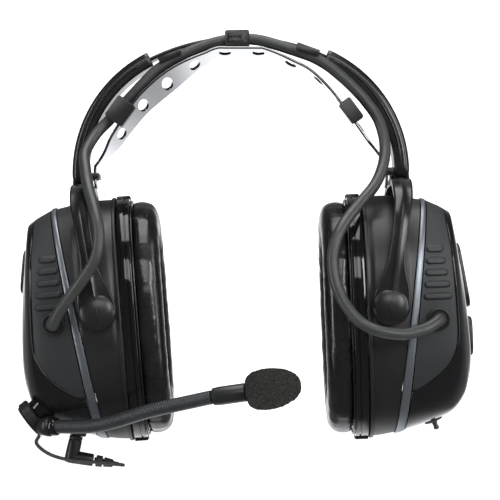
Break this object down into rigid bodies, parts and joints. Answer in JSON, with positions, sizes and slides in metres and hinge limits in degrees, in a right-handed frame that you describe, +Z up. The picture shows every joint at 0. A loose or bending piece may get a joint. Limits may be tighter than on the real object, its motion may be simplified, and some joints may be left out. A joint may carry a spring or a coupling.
{
  "type": "aviation headset",
  "caption": "Over-head communication headset: sprung arch band with comfort strap, sliding fork arms, tilting cushioned ear cups, crossover cable and gooseneck boom microphone.",
  "frame": {"origin": "the underside of the comfort strap at its crown, where the head holds the headset up", "axes": "+Z up, +X from the boom side to the other cup, +Y from the boom microphone's side to the back"},
  "size_m": [0.1942, 0.1232, 0.1863],
  "materials": {
    "spring_steel": "black coated spring strip",
    "black_gloss": "high gloss moulded",
    "black_satin": "satin moulded",
    "soft_touch": "soft-touch matte coating",
    "accent_metal": "metallic grey paint",
    "leatherette": "smooth glossy leatherette",
    "cable_rubber": "satin cable sheath",
    "open_foam": "open-cell foam",
    "circuit_green": "coated circuit laminate",
    "battery_wrap": "shrink-wrapped cell"
  },
  "bodies": {
    "headband": {"arch_band": "spring_steel", "slide_shoe_left": "black_satin", "slide_shoe_right": "black_satin", "centre_clip": "black_satin", "cable_clip_left": "black_satin", "cable_clip_right": "black_satin", "strap_clip_left": "black_satin", "strap_clip_right": "black_satin", "comfort_strap": "black_gloss", "cable_top": "cable_rubber"},
    "arm_left": {"hood_left": "black_gloss", "strap_keeper_left": "black_satin", "yoke_left": "black_gloss", "cable_left": "cable_rubber"},
    "cup_left": {"cup_shell_left": "black_satin", "accent_ring_left": "accent_metal", "cover_left": "soft_touch", "faceplate_left": "black_gloss", "cushion_plate_left": "black_gloss", "ear_cushion_left": "leatherette", "foam_liner_left": "open_foam", "speaker_left": "black_satin", "circuit_board_left": "circuit_green", "cable_gland_left": "black_satin", "mic_socket": "black_satin", "mic_plug": "black_satin", "plug_relief": "cable_rubber", "mic_lead": "cable_rubber"},
    "arm_right": {"hood_right": "black_gloss", "strap_keeper_right": "black_satin", "yoke_right": "black_gloss", "cable_right": "cable_rubber"},
    "cup_right": {"cup_shell_right": "black_satin", "accent_ring_right": "accent_metal", "cover_right": "soft_touch", "faceplate_right": "black_gloss", "cushion_plate_right": "black_gloss", "ear_cushion_right": "leatherette", "foam_liner_right": "open_foam", "speaker_right": "black_satin", "circuit_board_right": "circuit_green", "cable_gland_right": "black_satin", "socket_cap": "cable_rubber", "battery": "battery_wrap"},
    "boom": {"boom_hub": "black_satin", "hub_cap": "black_gloss", "gooseneck": "black_satin"},
    "microphone": {"mic_tube": "black_satin", "mic_capsule": "spring_steel", "windscreen": "open_foam"},
    "button_left": {"button_left": "black_satin"},
    "button_right_upper": {"button_right_upper": "black_satin"},
    "button_right_lower": {"button_right_lower": "black_satin"}
  },
  "joints": [
    {"name": "size_slide_left", "type": "hinge", "parent": "headband", "child": "arm_left", "pos_m": [-0.0146, 0, -0.052], "axis": [0, -1, 0], "range_deg": [-2.8, 6.2], "deforming": ["cable_left"]},
    {"name": "size_slide_right", "type": "hinge", "parent": "headband", "child": "arm_right", "pos_m": [0.0146, 0, -0.052], "axis": [0, 1, 0], "range_deg": [0, 9], "deforming": ["cable_right"]},
    {"name": "cup_tilt_left", "type": "hinge", "parent": "arm_left", "child": "cup_left", "pos_m": [-0.05915, 0, -0.11145], "axis": [0, -1, 0], "range_deg": [-9.6, 6.4], "deforming": ["cable_left"]},
    {"name": "cup_tilt_right", "type": "hinge", "parent": "arm_right", "child": "cup_right", "pos_m": [0.062, 0, -0.1092], "axis": [0, 1, 0], "range_deg": [-5.8, 10.2], "deforming": ["cable_right"]},
    {"name": "boom_swing", "type": "hinge", "parent": "cup_left", "child": "boom", "pos_m": [-0.088, -0.018, -0.1569], "axis": [-0.783, 0, -0.622], "range_deg": [-40, 70], "deforming": ["mic_lead"]},
    {"name": "boom_bend", "type": "hinge", "parent": "boom", "child": "microphone", "pos_m": [-0.0445, -0.0485, -0.1545], "axis": [0, 0, 1], "range_deg": [-25, 25], "deforming": ["gooseneck"]},
    {"name": "press_left", "type": "slide", "parent": "cup_left", "child": "button_left", "axis": [0.9968, 0, -0.0802], "range_m": [0, 0.001], "stiffness_N_per_m": 600, "springref_m": -0.001},
    {"name": "press_right_upper", "type": "slide", "parent": "cup_right", "child": "button_right_upper", "axis": [-0.9826, 0, -0.1857], "range_m": [0, 0.001], "stiffness_N_per_m": 600, "springref_m": -0.001},
    {"name": "press_right_lower", "type": "slide", "parent": "cup_right", "child": "button_right_lower", "axis": [-0.9993, 0, -0.0384], "range_m": [0, 0.001], "stiffness_N_per_m": 600, "springref_m": -0.001}
  ]
}
